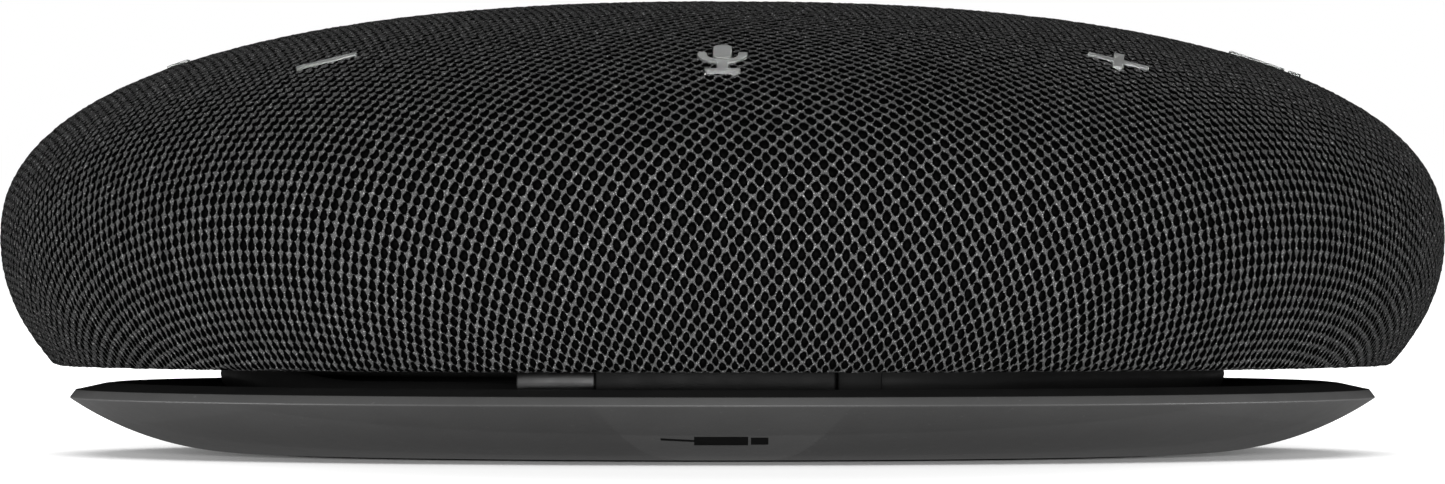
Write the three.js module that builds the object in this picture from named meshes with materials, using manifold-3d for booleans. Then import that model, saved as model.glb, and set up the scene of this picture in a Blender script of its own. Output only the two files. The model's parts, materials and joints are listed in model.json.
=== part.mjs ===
// Conference speakerphone: a fabric-covered dome on a shallow dish, with its USB lead wound on a drum
// in the groove between them. Millimetres, +Z up, the front faces -Y, the floor is z = 0.
import * as THREE from 'three';
import { mergeVertices } from 'three/addons/utils/BufferGeometryUtils.js';
import Module from 'manifold-3d';

const wasm = await Module();
wasm.setup();

// ---------------------------------------------------------------- driving dimensions
const CLEARANCE = 0.3; // gap left between pieces that touch

// Outer surface of the body: a superellipse above the equator and an ellipse below it.
const BODY_RADIUS = 61.5;
const EQUATOR_Z = 18.2;
const DOME_RISE = 20.3;
const DOME_POWER = 2.34;
const FLANK_DROP = 28;
const BODY_BOTTOM_Z = 7.5;

// Radii at which the dome profile has a corner, closer together where the keys stand.
const DOME_STATIONS = [60.9, 59, 55.5, 50.5, 46.2, 42, 34, 20, 0];
const FLANK_STATIONS = [8.2, 10.6, 14];

const SKIN = 0.9; // fabric thickness
const GRILLE_OUTER = 1.2; // depth of the grille dome's outer face under the fabric's outer face
const GRILLE_INNER = 2.8;

const SHELL_SIDES = 32;
const RING_SIDES = 20;
const ROD_SIDES = 12;
const SCREW_SIDES = 6;

// Hem ring and lower housing.
const HEM_INNER_RADIUS = 51.7;
const HEM_STEP_RADIUS = 53.3;
const HEM_STEP_Z = 8.75;
const HEM_TOP_Z = 10.3;
const FLOOR_BOTTOM_Z = 10.6;
const FLOOR_TOP_Z = 12.2;
const HOUSING_TOP_Z = 17.9;

// Keys: one on each of these azimuths, measured from the front towards +X.
const KEY_RADIUS = 46.2;
const KEYS = [
  { name: 'call', azimuth: -90 },
  { name: 'minus', azimuth: -45 },
  { name: 'microphone', azimuth: 0 },
  { name: 'plus', azimuth: 45 },
  { name: 'video', azimuth: 90 },
];
const ICON_PROUD = 0.15;
const ICON_PLATE = { top: -1.3, bottom: -1.9, radius: 3.9 };
const PLUNGER = { top: -2.2, plateBottom: -3.2, bottom: -4.6, radius: 3.9, stemRadius: 1.5 };
const SWITCH = { button: -5.1, top: -5.4, bottom: -6.6, width: 6, buttonRadius: 1.6 };
const KEY_HOLE_RADIUS = 4.3;
const CARRIER = { top: 6.9, bottom: 8.1, inward: 2.4, outward: 5 };
const MICROPHONE_AZIMUTHS = [22.5, 157.5, 202.5, 337.5];
const LED_AZIMUTH = 180;

// Screwed joints.
const POST_AZIMUTHS = [60, 180, 300];
const POST_CIRCLE = 38.4;
const POST_RADIUS = 2.6;
const POST_BOTTOM_Z = 16.3;
const POST_BOSS = { radius: 3.6, top: 16 };
const STANDOFF_AZIMUTHS = [0, 120, 240];
const STANDOFF_CIRCLE = 45.5;
const STANDOFF_TOP_Z = 23.8;
const BASE_SCREW_CIRCLE = 24;
const BOSS = { radius: 3.4, bottom: 5.3 };

// Speaker.
const CHAMBER = { outer: 34.5, inner: 33, bottom: 12.5, top: 30, plate: 28.5, hole: 21 };
const DRIVER_SCREW_CIRCLE = 25.7;
const DRIVER_SCREW_AZIMUTHS = [45, 135, 225, 315];

// Base.
const DISH_BOTTOM_Z = 0.12;
const DISH_FLAT_RADIUS = 40.3;
const DISH_TIP = { radius: 55.6, z: 4.8 };
const FOOT = { inner: 31, outer: 38.5, top: 1.2 };
const GROOVE_FLOOR_Z = 3.2;
const GROOVE_WALL_RADIUS = 51.6;
const DRUM = { radius: 35.8, inner: 34, bottom: 3.5, floor: 4.9, top: 10.3 };
const BOARD = { radius: 30.5, bottom: 6, top: 7.2 };
const BASE_PLATE = { radius: 29.2, lip: 33.6, bottom: 1.15, step: 2.5, top: 3.2 };

// Plug: lies flat across the front of the groove, its shell towards -X.
const PLUG_Y = -44.6;
const PLUG_Z = 6.7;
const PLUG_BODY = { from: -10.5, to: 9.2, width: 9.4, height: 5.2, corner: 2.5 };
const PLUG_SHELL = { from: -16.9, to: -10.8, width: 8.34, height: 2.56, corner: 1.2, wall: 0.35 };
const RELIEF = { from: 9.5, to: 13.1, big: 2.6, small: 2.25, bore: 1.95, socket: 12 };

// Lead: its centreline goes about two and a half times round the drum.
const LEAD_RADIUS = 1.55;
const LEAD_SIDES = 8;
const LEAD_STEPS = 80;
const OUTER_TURN = { radius: 41.2, z: 6.8 };
const LOWER_TURN = { radius: 37.75, z: 5 };
const UPPER_TURN = { radius: 37.75, z: 8.4 };
const LEAD_LEAVES_TURN = 938; // degrees of winding, from the front
const LEAD_ENTRY_BEND = 13;
const LEAD_ENTRY_ANGLE = 40;
const GLAND = { radius: 2.45, bore: 1.85, z: 7.6, length: 3.4, pastBend: 2.3 };

// ---------------------------------------------------------------- solids from three.js geometry
const radians = THREE.MathUtils.degToRad;

// Closed solid for joining and cutting, from any geometry without gaps.
function solidFrom(geometry) {
  const bare = geometry.clone();
  bare.deleteAttribute('normal');
  bare.deleteAttribute('uv');
  const welded = mergeVertices(bare, 1e-4);
  const corners = welded.index.array;
  const kept = [];
  for (let i = 0; i < corners.length; i += 3) {
    const [a, b, c] = [corners[i], corners[i + 1], corners[i + 2]];
    if (a !== b && b !== c && c !== a) kept.push(a, b, c);
  }
  return new wasm.Manifold(new wasm.Mesh({
    numProp: 3,
    vertProperties: Float32Array.from(welded.attributes.position.array),
    triVerts: Uint32Array.from(kept),
  }));
}

function geometryFrom(solid) {
  const mesh = solid.getMesh();
  const geometry = new THREE.BufferGeometry();
  geometry.setAttribute('position', new THREE.BufferAttribute(Float32Array.from(mesh.vertProperties), 3));
  geometry.setIndex(new THREE.BufferAttribute(Uint32Array.from(mesh.triVerts), 1));
  geometry.computeVertexNormals();
  return geometry;
}

// Turns a profile of [radius, z] pairs about the Z axis. The profile may run either way round.
function revolvedGeometry(profile, sides) {
  let area = 0;
  profile.forEach(([r, z], i) => {
    const [nextR, nextZ] = profile[(i + 1) % profile.length];
    area += r * nextZ - nextR * z;
  });
  const ordered = area > 0 ? [...profile] : [...profile].reverse();
  // A profile on the axis starts and ends there; any other closes on itself.
  const onAxis = ordered.findIndex(([r], i) => r === 0 && ordered[(i + 1) % ordered.length][0] !== 0);
  const points = onAxis < 0
    ? [...ordered, ordered[0]]
    : [...ordered.slice(onAxis), ...ordered.slice(0, onAxis)];
  const geometry = new THREE.LatheGeometry(points.map(([r, z]) => new THREE.Vector2(r, z)), sides);
  return geometry.rotateX(Math.PI / 2);
}

const revolved = (profile, sides) => solidFrom(revolvedGeometry(profile, sides));

function rodGeometry(radius, fromZ, toZ, sides = ROD_SIDES) {
  return revolvedGeometry([[0, fromZ], [radius, fromZ], [radius, toZ], [0, toZ]], sides);
}

// Point on the circle of this radius, azimuth in degrees from the front towards +X.
function onCircle(radius, azimuth, z = 0) {
  return new THREE.Vector3(radius * Math.sin(radians(azimuth)), -radius * Math.cos(radians(azimuth)), z);
}

function rodOnCircle(circle, azimuth, radius, fromZ, toZ, sides = ROD_SIDES) {
  const spot = onCircle(circle, azimuth);
  return solidFrom(rodGeometry(radius, fromZ, toZ, sides).translate(spot.x, spot.y, 0));
}

function block(width, depth, height, x, y, bottomZ) {
  return new THREE.BoxGeometry(width, depth, height).translate(x, y, bottomZ + height / 2);
}

function roundedRectangle(width, height, corner, x = 0, y = 0) {
  const [w, h] = [width / 2 - corner, height / 2 - corner];
  const shape = new THREE.Shape();
  shape.absarc(x + w, y + h, corner, 0, Math.PI / 2, false);
  shape.absarc(x - w, y + h, corner, Math.PI / 2, Math.PI, false);
  shape.absarc(x - w, y - h, corner, Math.PI, Math.PI * 1.5, false);
  shape.absarc(x + w, y - h, corner, Math.PI * 1.5, Math.PI * 2, false);
  return shape;
}

function prism(shape, fromZ, toZ, curveSegments = 3) {
  const settings = { depth: toZ - fromZ, bevelEnabled: false, curveSegments };
  return new THREE.ExtrudeGeometry(shape, settings).translate(0, 0, fromZ);
}

const joined = (solids) => solids.reduce((whole, solid) => whole.add(solid));
const cut = (solid, tools) => tools.reduce((rest, tool) => rest.subtract(tool), solid);

// ---------------------------------------------------------------- body surface
// Each point carries its outward normal, so that inner faces are parallel to the outer one.
function domePoint(radius) {
  const height = DOME_RISE * (1 - (radius / BODY_RADIUS) ** DOME_POWER) ** (1 / DOME_POWER);
  const alongR = (radius / BODY_RADIUS) ** (DOME_POWER - 1) / BODY_RADIUS;
  const alongZ = (height / DOME_RISE) ** (DOME_POWER - 1) / DOME_RISE;
  const size = Math.hypot(alongR, alongZ);
  return { r: radius, z: EQUATOR_Z + height, nr: alongR / size, nz: alongZ / size };
}

function flankPoint(z) {
  const drop = EQUATOR_Z - z;
  const radius = BODY_RADIUS * Math.sqrt(1 - (drop / FLANK_DROP) ** 2);
  const alongR = radius / BODY_RADIUS ** 2;
  const alongZ = -drop / FLANK_DROP ** 2;
  const size = Math.hypot(alongR, alongZ);
  return { r: radius, z, nr: alongR / size, nz: alongZ / size };
}

const inset = (point, depth) => [Math.max(point.r - depth * point.nr, 0), point.z - depth * point.nz];
const dome = (depth) => DOME_STATIONS.map((radius) => inset(domePoint(radius), depth));
const flank = (depth, levels = FLANK_STATIONS) => levels.map((z) => inset(flankPoint(z), depth));

// Frame on the dome at the keys' radius: local z is the outward normal, local y the glyph's upward side.
function keyFrame(azimuth) {
  const spot = domePoint(KEY_RADIUS);
  const normal = onCircle(spot.nr, azimuth, spot.nz);
  const up = new THREE.Vector3(0, 1, 0).addScaledVector(normal, -normal.y).normalize();
  const right = new THREE.Vector3().crossVectors(up, normal);
  return new THREE.Matrix4().makeBasis(right, up, normal).setPosition(onCircle(spot.r, azimuth, spot.z));
}

// Solid drawn in the key frame of the front key and carried round to another azimuth.
function seatedOnDome(geometry, azimuth) {
  return solidFrom(geometry.applyMatrix4(keyFrame(0)).rotateZ(radians(azimuth)));
}

// ---------------------------------------------------------------- pieces
const group = new THREE.Group();
group.name = 'conference_speakerphone';

function addPiece(name, solid, finish) {
  const mesh = new THREE.Mesh(geometryFrom(solid), new THREE.MeshStandardMaterial(finish));
  mesh.name = name;
  group.add(mesh);
}

const FABRIC = { color: '#4b4c4e', roughness: 0.95, metalness: 0 };
const ICON = { color: '#c3c7c2', roughness: 0.6, metalness: 0 };
const ELASTOMER = { color: '#4b4c50', roughness: 0.75, metalness: 0 };
const BLACK_PLASTIC = { color: '#1b1c1e', roughness: 0.6, metalness: 0 };
const LEAD_JACKET = { color: '#222326', roughness: 0.55, metalness: 0 };
const STEEL = { color: '#b9bbbe', roughness: 0.35, metalness: 1 };
const RUBBER = { color: '#161617', roughness: 0.9, metalness: 0 };
const BOARD_GREEN = { color: '#1f4a33', roughness: 0.55, metalness: 0 };
const CHIP = { color: '#141416', roughness: 0.5, metalness: 0 };
const COPPER = { color: '#b5713c', roughness: 0.4, metalness: 1 };
const PAPER = { color: '#26262a', roughness: 0.85, metalness: 0 };

// ---------------------------------------------------------------- key glyphs
// Strokes of each glyph in the key frame; grow widens every stroke, to cut its opening.
const stroke = (width, height, x, y, grow, corner = 0.2) =>
  roundedRectangle(width + 2 * grow, height + 2 * grow, corner + grow, x, y);

function microphoneCradle(grow) {
  const outer = 2.08 + grow;
  const inner = 1.28 - grow;
  const middle = 1.1;
  const top = 1.66 + grow;
  const shape = new THREE.Shape();
  shape.moveTo(outer, top);
  shape.lineTo(inner, top);
  shape.lineTo(inner, middle);
  shape.absarc(0, middle, inner, 0, Math.PI, true);
  shape.lineTo(-inner, top);
  shape.lineTo(-outer, top);
  shape.lineTo(-outer, middle);
  shape.absarc(0, middle, outer, Math.PI, Math.PI * 2, false);
  return shape;
}

function handset(grow) {
  const corner = 0.35 + grow;
  const left = -1.05 - grow;
  const right = 0.85 + grow;
  const waist = -0.15 + grow;
  const end = 2.7 + grow;
  const notch = 1.2 - grow;
  const shape = new THREE.Shape();
  shape.absarc(right - corner, corner - end, corner, -Math.PI / 2, 0, false);
  shape.absarc(right - corner, -notch - corner, corner, 0, Math.PI / 2, false);
  shape.lineTo(waist, -notch);
  shape.lineTo(waist, notch);
  shape.absarc(right - corner, notch + corner, corner, -Math.PI / 2, 0, false);
  shape.absarc(right - corner, end - corner, corner, 0, Math.PI / 2, false);
  shape.absarc(left + corner, end - corner, corner, Math.PI / 2, Math.PI, false);
  shape.absarc(left + corner, corner - end, corner, Math.PI, Math.PI * 1.5, false);
  return shape;
}

function cameraLens(grow) {
  const shape = new THREE.Shape();
  shape.moveTo(2.1 - grow, -0.7 - grow);
  shape.lineTo(3.2 + grow, -1.3 - 1.4 * grow);
  shape.lineTo(3.2 + grow, 1.3 + 1.4 * grow);
  shape.lineTo(2.1 - grow, 0.7 + grow);
  return shape;
}

const GLYPHS = {
  call: (grow) => [handset(grow)],
  minus: (grow) => [stroke(5.2, 0.9, -0.2, 0, grow)],
  microphone: (grow) => [
    stroke(1.56, 3.36, 0, 1.86, grow, 0.72),
    microphoneCradle(grow),
    stroke(0.9, 1.9, 0, -1.7, grow, 0.05),
    stroke(2.94, 0.73, 0, -2.935, grow, 0.15),
  ],
  plus: (grow) => [stroke(5.2, 0.9, 0.2, 0, grow), stroke(0.9, 5.2, 0.2, 0, grow)],
  video: (grow) => [stroke(4.9, 3.6, -0.75, 0, grow, 0.5), cameraLens(grow)],
};

function glyphSolid(name, azimuth, grow, fromZ, toZ) {
  const frame = keyFrame(azimuth);
  const strokes = GLYPHS[name](grow).map((shape) => prism(shape, fromZ, toZ, 2).applyMatrix4(frame));
  return joined(strokes.map(solidFrom));
}

// ---------------------------------------------------------------- upper body
function fabricCover() {
  const hemInner = HEM_STEP_RADIUS + CLEARANCE;
  const bottom = [[hemInner, BODY_BOTTOM_Z], [56, BODY_BOTTOM_Z], [56.8, 7.7]];
  const outside = [...bottom, ...flank(0), [BODY_RADIUS, EQUATOR_Z]];
  const inside = [...flank(SKIN), [BODY_RADIUS - SKIN, EQUATOR_Z], ...dome(SKIN)].reverse();
  const lip = [[55.9, BODY_BOTTOM_Z + SKIN], [hemInner, BODY_BOTTOM_Z + SKIN]];
  const skin = revolved([...outside, ...dome(0), ...inside, ...lip], SHELL_SIDES);
  return cut(skin, KEYS.map((key) => glyphSolid(key.name, key.azimuth, CLEARANCE, -1.25, 1)));
}

function grilleDome() {
  const outside = [[BODY_RADIUS - GRILLE_OUTER, EQUATOR_Z], ...dome(GRILLE_OUTER)];
  const inside = [[BODY_RADIUS - GRILLE_INNER, EQUATOR_Z], ...dome(GRILLE_INNER)].reverse();
  const shell = revolved([...outside, ...inside], SHELL_SIDES);
  const postTop = domePoint(POST_CIRCLE).z - (GRILLE_OUTER + GRILLE_INNER) / 2;
  const posts = POST_AZIMUTHS.map((azimuth) =>
    rodOnCircle(POST_CIRCLE, azimuth, POST_RADIUS, POST_BOTTOM_Z, postTop - 0.5));
  const bores = POST_AZIMUTHS.map((azimuth) =>
    rodOnCircle(POST_CIRCLE, azimuth, 1.4, POST_BOTTOM_Z - 1, 23, SCREW_SIDES));
  const keyHoles = KEYS.map((key) => seatedOnDome(rodGeometry(KEY_HOLE_RADIUS, -5, 0, 16), key.azimuth));
  return cut(joined([shell, ...posts]), [...bores, ...keyHoles]);
}

function hemRing() {
  const profile = [
    [HEM_INNER_RADIUS, BODY_BOTTOM_Z],
    [HEM_STEP_RADIUS, BODY_BOTTOM_Z],
    [HEM_STEP_RADIUS, HEM_STEP_Z],
    [55.9, HEM_STEP_Z],
    ...flank(GRILLE_OUTER, [8.2, 9.55]),
    [HEM_INNER_RADIUS, HEM_TOP_Z],
  ];
  return revolved(profile, SHELL_SIDES);
}

function lowerHousing() {
  const levels = [10, 14];
  const outside = [...flank(GRILLE_OUTER, levels), [BODY_RADIUS - GRILLE_OUTER, HOUSING_TOP_Z]];
  const inside = [[BODY_RADIUS - GRILLE_INNER, HOUSING_TOP_Z], ...flank(GRILLE_INNER, [14])];
  const bottom = [[0, FLOOR_BOTTOM_Z], [57.5, FLOOR_BOTTOM_Z]];
  const profile = [...bottom, ...outside, ...inside, [57, FLOOR_TOP_Z], [0, FLOOR_TOP_Z]];
  const bowl = revolved(profile, SHELL_SIDES);
  const postBosses = POST_AZIMUTHS.map((azimuth) =>
    rodOnCircle(POST_CIRCLE, azimuth, POST_BOSS.radius, FLOOR_TOP_Z - 0.8, POST_BOSS.top));
  const standoffs = STANDOFF_AZIMUTHS.map((azimuth) =>
    rodOnCircle(STANDOFF_CIRCLE, azimuth, 2, FLOOR_TOP_Z - 0.8, STANDOFF_TOP_Z));
  const baseBosses = POST_AZIMUTHS.map((azimuth) =>
    rodOnCircle(BASE_SCREW_CIRCLE, azimuth, BOSS.radius, BOSS.bottom, FLOOR_BOTTOM_Z + 0.8));
  const tools = POST_AZIMUTHS.flatMap((azimuth) => [
    rodOnCircle(POST_CIRCLE, azimuth, 3, FLOOR_BOTTOM_Z - 1, 13.4),
    rodOnCircle(POST_CIRCLE, azimuth, 1.4, 13, POST_BOSS.top + 1, SCREW_SIDES),
    rodOnCircle(BASE_SCREW_CIRCLE, azimuth, 1.45, BOSS.bottom - 1, 9.8, SCREW_SIDES),
  ]);
  return cut(joined([bowl, ...postBosses, ...standoffs, ...baseBosses]), tools);
}

addPiece('fabric_cover', fabricCover(), FABRIC);
addPiece('grille_dome', grilleDome(), BLACK_PLASTIC);
addPiece('hem_ring', hemRing(), BLACK_PLASTIC);
addPiece('lower_housing', lowerHousing(), BLACK_PLASTIC);

// ---------------------------------------------------------------- keys
function iconSolid(key) {
  const glyph = glyphSolid(key.name, key.azimuth, 0, ICON_PLATE.top - 0.2, ICON_PROUD);
  const plate = rodGeometry(ICON_PLATE.radius, ICON_PLATE.bottom, ICON_PLATE.top);
  return glyph.add(seatedOnDome(plate, key.azimuth));
}

function plungerSolid(azimuth) {
  const profile = [
    [0, PLUNGER.bottom],
    [PLUNGER.stemRadius, PLUNGER.bottom],
    [PLUNGER.stemRadius, PLUNGER.plateBottom],
    [PLUNGER.radius, PLUNGER.plateBottom],
    [PLUNGER.radius, PLUNGER.top],
    [0, PLUNGER.top],
  ];
  return seatedOnDome(revolvedGeometry(profile, ROD_SIDES), azimuth);
}

function switchSolid(azimuth) {
  const housing = block(SWITCH.width, SWITCH.width, SWITCH.top - SWITCH.bottom, 0, 0, SWITCH.bottom);
  const button = rodGeometry(SWITCH.buttonRadius, SWITCH.top - 0.3, SWITCH.button, SCREW_SIDES);
  return seatedOnDome(housing, azimuth).add(seatedOnDome(button, azimuth));
}

for (const key of KEYS) {
  addPiece(`key_${key.name}_icon`, iconSolid(key), ICON);
  addPiece(`key_${key.name}_plunger`, plungerSolid(key.azimuth), BLACK_PLASTIC);
  addPiece(`key_${key.name}_switch`, switchSolid(key.azimuth), STEEL);
}

function keyCarrier() {
  const spot = domePoint(KEY_RADIUS);
  const corner = (depth, along) => [
    spot.r - depth * spot.nr + along * spot.nz,
    spot.z - depth * spot.nz - along * spot.nr,
  ];
  const profile = [
    corner(CARRIER.bottom, -CARRIER.inward),
    corner(CARRIER.bottom, CARRIER.outward),
    corner(CARRIER.top, CARRIER.outward),
    corner(CARRIER.top, -CARRIER.inward),
  ];
  return revolved(profile, SHELL_SIDES);
}

addPiece('key_carrier', keyCarrier(), BOARD_GREEN);
MICROPHONE_AZIMUTHS.forEach((azimuth, i) => {
  addPiece(`microphone_${i + 1}`, seatedOnDome(block(4, 3, 1.2, 0, 0, SWITCH.bottom), azimuth), STEEL);
});
addPiece('status_led', seatedOnDome(block(2, 1.2, 0.8, 0, 0, SWITCH.bottom), LED_AZIMUTH), ICON);

// ---------------------------------------------------------------- speaker
function screw(headRadius, shankRadius, headZ, shoulderZ, tipZ, circle, azimuth) {
  const spot = onCircle(circle, azimuth);
  const profile = [
    [0, headZ], [headRadius, headZ], [headRadius, shoulderZ],
    [shankRadius, shoulderZ], [shankRadius, tipZ], [0, tipZ],
  ];
  return solidFrom(revolvedGeometry(profile, SCREW_SIDES).translate(spot.x, spot.y, 0));
}

function speakerChamber() {
  const profile = [
    [CHAMBER.inner, CHAMBER.bottom],
    [CHAMBER.outer, CHAMBER.bottom],
    [CHAMBER.outer, CHAMBER.top],
    [CHAMBER.hole, CHAMBER.top],
    [CHAMBER.hole, CHAMBER.plate],
    [CHAMBER.inner, CHAMBER.plate],
  ];
  const holes = DRIVER_SCREW_AZIMUTHS.map((azimuth) =>
    rodOnCircle(DRIVER_SCREW_CIRCLE, azimuth, 1.25, CHAMBER.plate - 1, CHAMBER.top + 1, SCREW_SIDES));
  return cut(revolved(profile, RING_SIDES), holes);
}

function driverBasket() {
  const profile = [
    [10, 21.3], [16.6, 21.3], [20.5, 30.3], [27.6, 30.3], [27.6, 31.5],
    [19.4, 31.5], [19.4, 30.6], [15.8, 22.1], [10, 22.1],
  ];
  const windows = [0, 90].map((azimuth) =>
    solidFrom(block(7, 50, 5, 0, 0, 23.4).rotateZ(radians(azimuth))));
  const holes = DRIVER_SCREW_AZIMUTHS.map((azimuth) =>
    rodOnCircle(DRIVER_SCREW_CIRCLE, azimuth, 1.25, 29, 33, SCREW_SIDES));
  return cut(revolved(profile, RING_SIDES), [...windows, ...holes]);
}

addPiece('speaker_chamber', speakerChamber(), BLACK_PLASTIC);
addPiece('driver_basket', driverBasket(), STEEL);
addPiece('driver_yoke', revolved([
  [0, 14.7], [12, 14.7], [12, 21], [9.9, 21], [9.9, 16], [0, 16],
], RING_SIDES), STEEL);
addPiece('driver_magnet', revolved([[0, 16.3], [8, 16.3], [8, 19.3], [0, 19.3]], RING_SIDES), STEEL);
addPiece('driver_top_plate', revolved([[0, 19.6], [8, 19.6], [8, 21], [0, 21]], RING_SIDES), STEEL);
addPiece('driver_voice_coil', revolved([[8.6, 17.5], [9.2, 17.5], [9.2, 23], [8.6, 23]], RING_SIDES), COPPER);
addPiece('driver_cone', revolved([
  [8.6, 23.3], [9.3, 23.3], [16.3, 31.2], [17.3, 31.6], [17.3, 32.1], [15.9, 31.8],
], RING_SIDES), PAPER);
addPiece('driver_dust_cap', revolved([
  [0, 26.6], [4.6, 26], [8.2, 24.1], [8.2, 23.5], [4.4, 25.3], [0, 25.9],
], RING_SIDES), PAPER);
addPiece('driver_surround', revolved([
  [17.7, 31.8], [17.9, 32.9], [18.7, 33.5], [19.7, 33.5], [20.7, 32.4], [23.6, 32.4],
  [23.6, 31.8], [20.1, 31.8], [19.4, 32.9], [18.8, 32.9], [18.3, 31.8],
], RING_SIDES), RUBBER);
addPiece('driver_spider', revolved([
  [10.4, 22.4], [12.2, 22.4], [13.4, 22.8], [15.4, 22.4],
  [15.4, 22.9], [13.4, 23.3], [12.2, 22.9], [10.4, 22.9],
], RING_SIDES), COPPER);
DRIVER_SCREW_AZIMUTHS.forEach((azimuth, i) => {
  addPiece(`driver_screw_${i + 1}`, screw(1.6, 0.9, 32.8, 31.8, 28.8, DRIVER_SCREW_CIRCLE, azimuth), STEEL);
});

// ---------------------------------------------------------------- base
function dishCurve(steps) {
  const across = DISH_TIP.radius - DISH_FLAT_RADIUS;
  const rise = DISH_TIP.z - DISH_BOTTOM_Z;
  const bend = (across ** 2 + rise ** 2) / (2 * rise);
  return Array.from({ length: steps + 1 }, (_, i) => {
    const r = DISH_FLAT_RADIUS + across * i / steps;
    return [r, DISH_BOTTOM_Z + bend - Math.sqrt(bend ** 2 - (r - DISH_FLAT_RADIUS) ** 2)];
  });
}

function baseDish() {
  const footTop = FOOT.top + CLEARANCE;
  const profile = [
    [BASE_PLATE.radius + CLEARANCE, DISH_BOTTOM_Z],
    [FOOT.inner - CLEARANCE, DISH_BOTTOM_Z],
    [FOOT.inner - CLEARANCE, footTop],
    [FOOT.outer + CLEARANCE, footTop],
    [FOOT.outer + CLEARANCE, DISH_BOTTOM_Z],
    ...dishCurve(5),
    [55.06, 5.5],
    [54.8, 5.54],
    [52.2, 6.1],
    [GROOVE_WALL_RADIUS, 6.1],
    [GROOVE_WALL_RADIUS - 0.2, 4.3],
    [GROOVE_WALL_RADIUS - 1.3, GROOVE_FLOOR_Z],
    [BASE_PLATE.lip + CLEARANCE, GROOVE_FLOOR_Z],
    [BASE_PLATE.lip + CLEARANCE, BASE_PLATE.step - CLEARANCE],
    [BASE_PLATE.radius + CLEARANCE, BASE_PLATE.step - CLEARANCE],
  ];
  const rest = solidFrom(block(15, 6, 1, -0.6, PLUG_Y, 2.8));
  return revolved(profile, SHELL_SIDES).add(rest);
}

function basePlate() {
  const profile = [
    [0, BASE_PLATE.bottom],
    [BASE_PLATE.radius, BASE_PLATE.bottom],
    [BASE_PLATE.radius, BASE_PLATE.step],
    [BASE_PLATE.lip, BASE_PLATE.step],
    [BASE_PLATE.lip, BASE_PLATE.top],
    [0, BASE_PLATE.top],
  ];
  const tools = POST_AZIMUTHS.flatMap((azimuth) => [
    rodOnCircle(BASE_SCREW_CIRCLE, azimuth, 3.1, 0, 2.6),
    rodOnCircle(BASE_SCREW_CIRCLE, azimuth, 1.5, 2, 4, SCREW_SIDES),
  ]);
  return cut(revolved(profile, SHELL_SIDES), tools);
}

const footProfile = [
  [FOOT.inner, 0.25], [FOOT.inner + 0.4, 0], [FOOT.outer - 0.4, 0],
  [FOOT.outer, 0.25], [FOOT.outer, FOOT.top], [FOOT.inner, FOOT.top],
];
addPiece('base_dish', baseDish(), ELASTOMER);
addPiece('base_plate', basePlate(), BLACK_PLASTIC);
addPiece('foot_ring', revolved(footProfile, SHELL_SIDES), RUBBER);
addPiece('rating_plate', revolved([[0, 0.45], [18, 0.45], [18, 0.85], [0, 0.85]], RING_SIDES), PAPER);
POST_AZIMUTHS.forEach((azimuth, i) => {
  addPiece(`housing_screw_${i + 1}`, screw(2.5, 1.1, 11, 13.1, 21, POST_CIRCLE, azimuth), STEEL);
  addPiece(`base_screw_${i + 1}`, screw(2.7, 1.15, 1.2, 2.3, 9.3, BASE_SCREW_CIRCLE, azimuth), STEEL);
});

// ---------------------------------------------------------------- lead and plug
const smooth = (angle, from, to) => THREE.MathUtils.smoothstep(angle, from, to);
const between = THREE.MathUtils.lerp;

// Where the lead leaves the plug, seen from the drum's axis.
const PLUG_START = {
  radius: Math.hypot(RELIEF.to, PLUG_Y),
  angle: THREE.MathUtils.radToDeg(Math.atan2(RELIEF.to, -PLUG_Y)),
};

// Radius and height of the lead's centreline on the drum, at an angle of winding in degrees.
function windingPoint(angle) {
  let radius = between(PLUG_START.radius, OUTER_TURN.radius, smooth(angle, PLUG_START.angle, 52));
  let z = between(PLUG_Z, OUTER_TURN.z, smooth(angle, 20, 60));
  radius = between(radius, LOWER_TURN.radius, smooth(angle, 303, 348));
  z = between(z, LOWER_TURN.z, smooth(angle, 283, 312));
  z = between(z, UPPER_TURN.z, smooth(angle, 612, 660));
  return onCircle(radius, angle, z);
}

// Where the lead turns in through the drum wall: a bend of fixed radius, then straight along the gland.
function entryPath() {
  const outward = onCircle(1, LEAD_LEAVES_TURN);
  const onward = onCircle(1, LEAD_LEAVES_TURN + 90);
  const centre = outward.clone().multiplyScalar(UPPER_TURN.radius - LEAD_ENTRY_BEND);
  const bend = [10, 20, 30, LEAD_ENTRY_ANGLE].map((angle) => {
    const point = centre.clone()
      .addScaledVector(outward, LEAD_ENTRY_BEND * Math.cos(radians(angle)))
      .addScaledVector(onward, LEAD_ENTRY_BEND * Math.sin(radians(angle)));
    return point.setZ(between(UPPER_TURN.z, GLAND.z, smooth(angle, 5, LEAD_ENTRY_ANGLE)));
  });
  const heading = onward.clone().multiplyScalar(Math.cos(radians(LEAD_ENTRY_ANGLE)))
    .addScaledVector(outward, -Math.sin(radians(LEAD_ENTRY_ANGLE)));
  const straight = (distance) => bend[bend.length - 1].clone().addScaledVector(heading, distance);
  return { bend, heading, gland: straight(GLAND.pastBend), end: straight(4.3) };
}

const entry = entryPath();
const leadPath = new THREE.CatmullRomCurve3([
  new THREE.Vector3(RELIEF.socket + CLEARANCE, PLUG_Y, PLUG_Z),
  new THREE.Vector3(RELIEF.to, PLUG_Y, PLUG_Z),
  ...Array.from({ length: 99 }, (_, i) => windingPoint(22 + (LEAD_LEAVES_TURN - 22) * i / 98)),
  ...entry.bend,
  entry.end,
]);
leadPath.arcLengthDivisions = 2000;

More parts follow.
